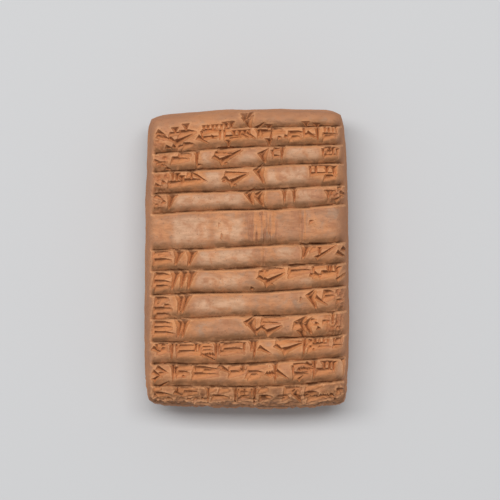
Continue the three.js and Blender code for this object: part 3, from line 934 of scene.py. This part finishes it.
def thin_out(piece, triangles):
    """Takes triangles away where the surface is plain, and keeps them where strokes are cut."""
    modifier = piece.modifiers.new("thin out", "DECIMATE")
    modifier.ratio = min(1, MOST_TRIANGLES / triangles)
    modifier.use_collapse_triangulate = True
    evaluated = piece.evaluated_get(bpy.context.evaluated_depsgraph_get())
    thinned = bpy.data.meshes.new_from_object(evaluated)
    thinned.set_sharp_from_angle(angle=math.radians(SHARP_FOLD))
    piece.modifiers.clear()
    piece.data = thinned


def tablet_piece():
    """The tablet as one close mesh that stands for the solid."""
    points, out, masks, quads = tablet_shell()
    piece = bpy.data.objects.new("clay_tablet", new_mesh(seated(roughen(points, out)), masks, quads))
    bpy.context.scene.collection.objects.link(piece)
    thin_out(piece, len(quads) * 2)
    return piece


def add_node(tree, kind, **inputs):
    """A new shader node with its inputs set by name. An underline in a name stands for a space."""
    node = tree.nodes.new(kind)
    for name, value in inputs.items():
        node.inputs[name.replace("_", " ")].default_value = value
    return node


def noise(tree, scale, detail, roughness, distortion=0.0, squeeze=(1, 1, 1)):
    """Cloudy noise from 0 to 1. A squeeze under 1 along an axis draws its spots out along that axis."""
    node = add_node(tree, "ShaderNodeTexNoise", Scale=scale, Detail=detail, Roughness=roughness)
    node.inputs["Distortion"].default_value = distortion
    place = tree.nodes.new("ShaderNodeTexCoord")
    mapping = add_node(tree, "ShaderNodeMapping", Scale=squeeze)
    tree.links.new(place.outputs["Object"], mapping.inputs["Vector"])
    tree.links.new(mapping.outputs["Vector"], node.inputs["Vector"])
    return node.outputs["Fac"]


def mask_value(tree, name):
    node = tree.nodes.new("ShaderNodeAttribute")
    node.attribute_name = name
    return node.outputs["Fac"]


def ramp(tree, value, start, end, low=0.0, high=1.0):
    """The value from start to end, as low to high."""
    node = add_node(tree, "ShaderNodeMapRange", From_Min=start, From_Max=end, To_Min=low, To_Max=high)
    node.interpolation_type = "SMOOTHSTEP"
    tree.links.new(value, node.inputs["Value"])
    return node.outputs["Result"]


def fill_socket(tree, socket, value):
    """Puts a number, a colour or another node's output into a socket."""
    if isinstance(value, (int, float)):
        socket.default_value = value
    elif isinstance(value, tuple):
        socket.default_value = (*value, 1)
    else:
        tree.links.new(value, socket)


def math_node(tree, operation, first, second):
    node = tree.nodes.new("ShaderNodeMath")
    node.operation = operation
    fill_socket(tree, node.inputs[0], first)
    fill_socket(tree, node.inputs[1], second)
    return node.outputs["Value"]


def times(tree, first, second):
    return math_node(tree, "MULTIPLY", first, second)


def tinted(tree, under, share, over, mode="MIX"):
    """The over colour laid on the under colour in some share. Each colour is a value or a socket."""
    node = tree.nodes.new("ShaderNodeMix")
    node.data_type = "RGBA"
    node.blend_type = mode
    share_socket, under_socket, over_socket = (node.inputs[index] for index in (0, 6, 7))
    fill_socket(tree, share_socket, share)
    fill_socket(tree, under_socket, under)
    fill_socket(tree, over_socket, over)
    return node.outputs[2]


def plain_colour(tree, masks, noises):
    """The clay's own colour: warm and red clouds, dusty and grey where it is bare, and the pale patches."""
    blotch = noises["blotch"]
    colour = tinted(tree, CLAY, ramp(tree, noises["broad"], *WARM_CLOUDS), CLAY_WARM)
    colour = tinted(tree, colour, ramp(tree, blotch, *RED_CLOUDS), CLAY_RED)
    dusty = times(tree, masks["bare"], ramp(tree, blotch, *DUSTY_CLOUDS))
    colour = tinted(tree, colour, dusty, CLAY_DUSTY)
    grey = times(tree, masks["bare"], ramp(tree, blotch, *GREY_CLOUDS))
    colour = tinted(tree, colour, grey, CLAY_GREY)
    patchy = times(tree, masks["pale"], ramp(tree, blotch, *PALE_CLOUDS))
    return tinted(tree, colour, patchy, CLAY_PALE)


def worn_colour(tree, colour, masks, noises, smeared):
    """Red and umber crumbs, smoothed-out streaks, and painted shade on the rim, the sides and the crumbled
    end.
    """
    damaged = math_node(tree, "MAXIMUM", masks["worn"], masks["broken"])
    crumbs = times(tree, damaged, ramp(tree, noises["fine"], *CRUMB_SPOTS))
    colour = tinted(tree, colour, crumbs, CLAY_RED)
    # Umber on the crumbled lower end: darker crumbled clay and painted shade
    colour = tinted(tree, colour, times(tree, masks["broken"], BROKEN_CLAY_AND_SHADE), CLAY_UMBER_WEAR_AND_SHADE)
    colour = tinted(tree, colour, smeared, CLAY_RED)
    brushed_off = times(tree, masks["faint"], ramp(tree, noises["streaks"], *LIGHT_STREAKS))
    colour = tinted(tree, colour, brushed_off, CLAY_WARM)
    # Painted shade on the rim and sides
    colour = tinted(tree, colour, times(tree, masks["rim"], RIM_PAINTED_SHADE), CLAY_RIM_PAINTED_SHADE)
    written = math_node(tree, "SUBTRACT", 1, math_node(tree, "MAXIMUM", masks["bare"], masks["rim"]))
    scratched = times(tree, written, ramp(tree, noises["brushed"], *RED_SCRATCHES))
    return tinted(tree, colour, scratched, CLAY_RED)


def marked_colour(tree, colour, masks, noises):
    """Painted highlight: lips, walls. Painted shade: rows' low parts, creases, lines, upper walls,
    underside.
    """
    blotch = noises["blotch"]
    # Painted highlight on the lips
    colour = tinted(tree, colour, times(tree, masks["lip"], LIP_PAINTED_HIGHLIGHT), CLAY_PAINTED_HIGHLIGHT)
    # Painted shade on the low part of each row, broken up by clouds
    row_painted_shade = times(tree, ramp(tree, masks["low"], *ROW_SHADE), ramp(tree, blotch, *ROW_CLOUDS))
    colour = tinted(tree, colour, row_painted_shade, CLAY_UMBER_WEAR_AND_SHADE)
    # Warmer, lighter strokes: the pressed clay's warmer colour and a painted highlight on their facets
    colour = tinted(tree, colour, ramp(tree, masks["pressed"], *STROKE_WARMTH_AND_HIGHLIGHT), CLAY_WARM)
    # Painted highlight on the band below each ruled line
    colour = tinted(tree, colour, times(tree, masks["painted_highlight_band"], WALL_PAINTED_HIGHLIGHT), CLAY_PAINTED_HIGHLIGHT)
    # Painted shade in ruled lines, creases and upper walls, broken up by spots
    uneven_line = math_node(tree, "ADD", masks["ruled"], ramp(tree, blotch, *LINE_CLOUDS))
    line = ramp(tree, uneven_line, *LINE_SHADE)
    painted_shade_share = math_node(tree, "MAXIMUM", ramp(tree, masks["crease"], *CREASE_SHADE), line)
    painted_shade_share = math_node(tree, "MAXIMUM", painted_shade_share, times(tree, masks["upper_wall_painted_shade"], UPPER_WALL_SHADE))
    painted_shade_share = times(tree, painted_shade_share, ramp(tree, noises["fine"], *SHADE_SPOTS))
    colour = tinted(tree, colour, painted_shade_share, CLAY_PAINTED_SHADE)
    # Painted shade on the underside of the lower end
    return tinted(tree, colour, times(tree, masks["under"], UNDER_PAINTED_SHADE), CLAY_UMBER_WEAR_AND_SHADE)


def grainy_colour(tree, colour, masks, noises):
    """Brushed shade, which is weaker on the rim and sides, and dark and dusty speckles."""
    brushed_part = math_node(tree, "SUBTRACT", 1, times(tree, masks["rim"], RIM_SMOOTHNESS))
    shade = times(tree, brushed_part, ramp(tree, noises["brushed"], *BRUSHED_SHADE))
    colour = tinted(tree, colour, shade, CLAY_SHADE, "MULTIPLY")
    colour = tinted(tree, colour, ramp(tree, noises["speckle"], *DARK_SPECKLES), CLAY_SPECK)
    return tinted(tree, colour, ramp(tree, noises["speckle"], *DUSTY_SPECKLES), CLAY_DUSTY)


def clay_material():
    material = bpy.data.materials.new("clay")
    material.use_nodes = True
    tree = material.node_tree
    shader = tree.nodes["Principled BSDF"]
    shader.inputs["Specular IOR Level"].default_value = CLAY_SHINE
    masks = {name: mask_value(tree, name) for name in MASKS}
    noises = {name: noise(tree, **values) for name, values in CLAY_NOISES.items()}
    smeared = times(tree, masks["faint"], ramp(tree, noises["streaks"], *DARK_STREAKS))

    colour = plain_colour(tree, masks, noises)
    colour = worn_colour(tree, colour, masks, noises, smeared)
    colour = marked_colour(tree, colour, masks, noises)
    colour = grainy_colour(tree, colour, masks, noises)
    tree.links.new(colour, shader.inputs["Base Color"])
    tree.links.new(ramp(tree, noises["blotch"], *CLAY_ROUGHNESS), shader.inputs["Roughness"])

    relief = math_node(tree, "ADD", noises["fine"], noises["brushed"])
    relief = math_node(tree, "SUBTRACT", relief, times(tree, smeared, SMEAR_BUMP))
    grain = add_node(tree, "ShaderNodeBump", Strength=BUMP_STRENGTH, Distance=BUMP_DEPTH)
    tree.links.new(relief, grain.inputs["Height"])
    tree.links.new(grain.outputs["Normal"], shader.inputs["Normal"])
    return material


def table_material():
    material = bpy.data.materials.new("pale table")
    material.use_nodes = True
    shader = material.node_tree.nodes["Principled BSDF"]
    shader.inputs["Base Color"].default_value = (*TABLE_COLOUR, 1)
    shader.inputs["Roughness"].default_value = TABLE_ROUGHNESS
    shader.inputs["Specular IOR Level"].default_value = TABLE_SHINE
    return material


def add_table():
    mesh = bpy.data.meshes.new("table")
    signs = ((-1, -1), (1, -1), (1, 1), (-1, 1))
    corners = [(across * TABLE_REACH, along * TABLE_REACH, 0) for across, along in signs]
    mesh.from_pydata(corners, [], [(0, 1, 2, 3)])
    mesh.materials.append(table_material())
    table = bpy.data.objects.new("table", mesh)
    bpy.context.scene.collection.objects.link(table)


def add_camera():
    """Looks straight down, and puts the tablet's middle where the photograph has it."""
    middle = TABLET_THICKNESS * MM / 2
    camera_data = bpy.data.cameras.new("camera")
    camera_data.sensor_width = SENSOR_WIDTH
    camera_data.lens = SENSOR_WIDTH * (CAMERA_HEIGHT - middle) / (PHOTO_WIDTH * PIXEL)
    camera = bpy.data.objects.new("camera", camera_data)
    across = (PHOTO_WIDTH / 2 - TABLET_MIDDLE_PIXEL[0]) * PIXEL
    up = (TABLET_MIDDLE_PIXEL[1] - PHOTO_WIDTH / 2) * PIXEL
    camera.location = (across, up, CAMERA_HEIGHT)
    bpy.context.scene.collection.objects.link(camera)
    bpy.context.scene.camera = camera


def add_light(name, place, width, depth, power):
    """A soft light, wide from left to right, aimed at the tablet."""
    data = bpy.data.lights.new(name, "AREA")
    data.shape = "RECTANGLE"
    data.size = width
    data.size_y = depth
    data.energy = power
    light = bpy.data.objects.new(name, data)
    light.location = place
    across, up, height = place
    light.rotation_euler = (-math.atan2(up, height), math.atan2(across, height), 0)
    bpy.context.scene.collection.objects.link(light)


def add_sky():
    """An even white glow from all round."""
    world = bpy.data.worlds.new("studio")
    world.use_nodes = True
    background = world.node_tree.nodes["Background"]
    background.inputs["Color"].default_value = (1, 1, 1, 1)
    background.inputs["Strength"].default_value = SKY_STRENGTH
    bpy.context.scene.world = world


def main():
    add_camera()
    add_light("key light", **KEY_LIGHT)
    add_sky()
    add_table()
    tablet = tablet_piece()
    tablet.data.materials.append(clay_material())
    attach(tablet, "root")
    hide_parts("tablet")
    bpy.context.scene.view_settings.view_transform = "Standard"


main()
